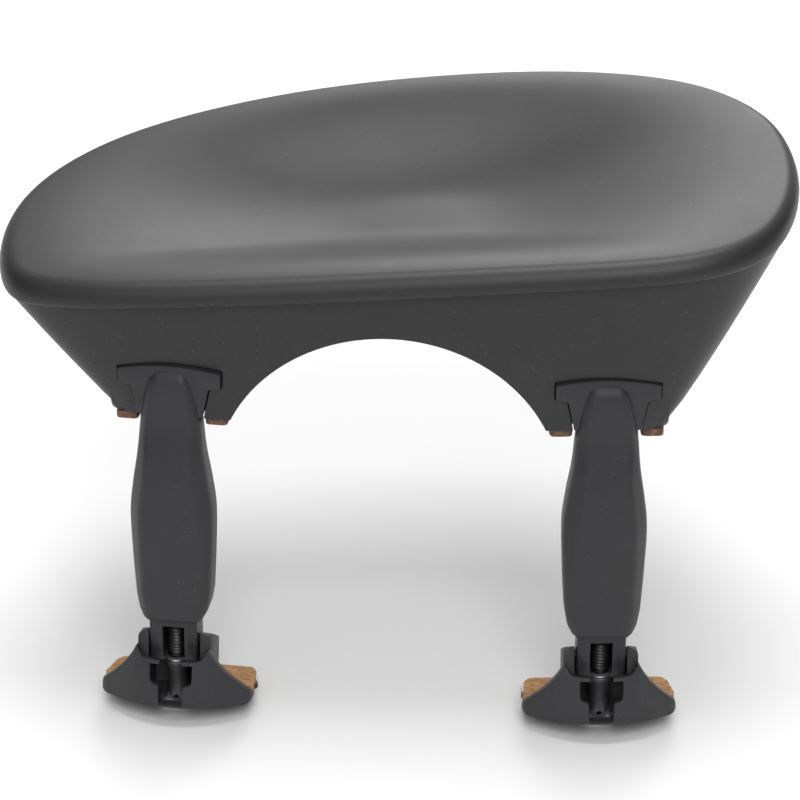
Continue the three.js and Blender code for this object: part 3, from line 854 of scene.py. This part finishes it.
def fleckTree():
    tree = Tree("corkFlecks", {"Density": "Float", "Size": "Float", "Seed": "Int", "Material": "Material"})
    scatter = tree.group.nodes.new("GeometryNodeDistributePointsOnFaces")
    for label, source in (("Mesh", "Geometry"), ("Density", "Density"), ("Seed", "Seed")):
        tree.group.links.new(tree.given(source), scatter.inputs[label])
    grain = tree.add("GeometryNodeMeshIcoSphere", {}, {"Radius": tree.given("Size"), "Subdivisions": 1})
    scale = tree.add("FunctionNodeRandomValue", {"data_type": "FLOAT_VECTOR"},
                     {0: flecks["thinnest"], 1: flecks["thickest"], "Seed": tree.given("Seed")})
    spread = tree.add("GeometryNodeInstanceOnPoints", {}, {
        "Points": scatter.outputs["Points"], "Instance": grain,
        "Rotation": scatter.outputs["Rotation"], "Scale": scale})
    return tree.close(spread)


def addFlecks(cork, name, seed, body, slot):
    made = bpy.data.objects.new(name, cork.data.copy())
    scene.collection.objects.link(made)
    fleckTree().grow(made, {"Density": flecks["density"], "Size": flecks["size"], "Seed": seed,
                            "Material": looks["darkFleck"]})
    dress(made, "darkFleck", body, slot)


def buildCorks(side, label, seed):
    half, front, back, notch = pad["half"], pad["front"], pad["back"], pad["notch"]
    outer = [(-half, front), (-half, back), (half, back), (half, front)]
    outline = [(-notch, front), *outer, (notch, front), (notch, pad["notchBack"]), (-notch, pad["notchBack"])]
    sheet = prism(label + "_seat_cork", inMetres(softCorners(outline, 0.8, 5)), 0.0, pad["thick"] * mm, "z")
    roundEdges(sheet, 0.08 * mm, 2, 35.0)
    moved(sheet, legPlace(side))
    addFlecks(sheet, label + "_seat_flecks", seed, "root", "pad_cork")
    dress(sheet, "padCork", "root", "pad_cork", label + "_plate_cork")
    low = foot["base"] + foot["plate"] + 0.05
    grip = prism(label + "_grip_cork", footPlan(0), low * mm, (low + foot["cork"]) * mm, "z")
    behind = prism("behind", footPlan(0.1, foot["wall"] + 0.3), (low - 1) * mm, (low + 3) * mm, "z")
    combine(grip, behind, "INTERSECT")
    combine(grip, small("hubGap", (-5.6, 5.6), (-9, foot["hubBack"] + 0.3), (-50, -30)))
    roundEdges(grip, 0.12 * mm, 2, 35.0)
    moved(grip, footPlace(side))
    addFlecks(grip, label + "_grip_flecks", seed + 1, label + "_foot", "foot_cork")
    dress(grip, "footCork", label + "_foot", "foot_cork", label + "_foot_cork")


addCamera()
addLights()
floorHeight = cadBox[0][2] - studio["floorGap"]
floorSpan = (-studio["floorHalf"], studio["floorHalf"])
floor = block("floor", floorSpan, floorSpan, (floorHeight - studio["floorDeep"], floorHeight))
floor.data.materials.append(looks["floor"])
print("stage ready")
buildPlate()
print("plate ready")
for side, label, seed in ((-1, "left", 11), (1, "right", 21)):
    buildLeg(side, label)
    buildSlider(side, label)
    buildScrew(side, label)
    buildBarrel(side, label)
    buildWasher(side, label)
    buildFixing(side, label)
    buildFoot(side, label)
    buildCorks(side, label, seed)
    nut = frame["nodes"][label + "_leg_nut"]
    nut.data.materials.clear()
    nut.data.materials.append(looks["nutBrass"])
    print(label, "leg ready")
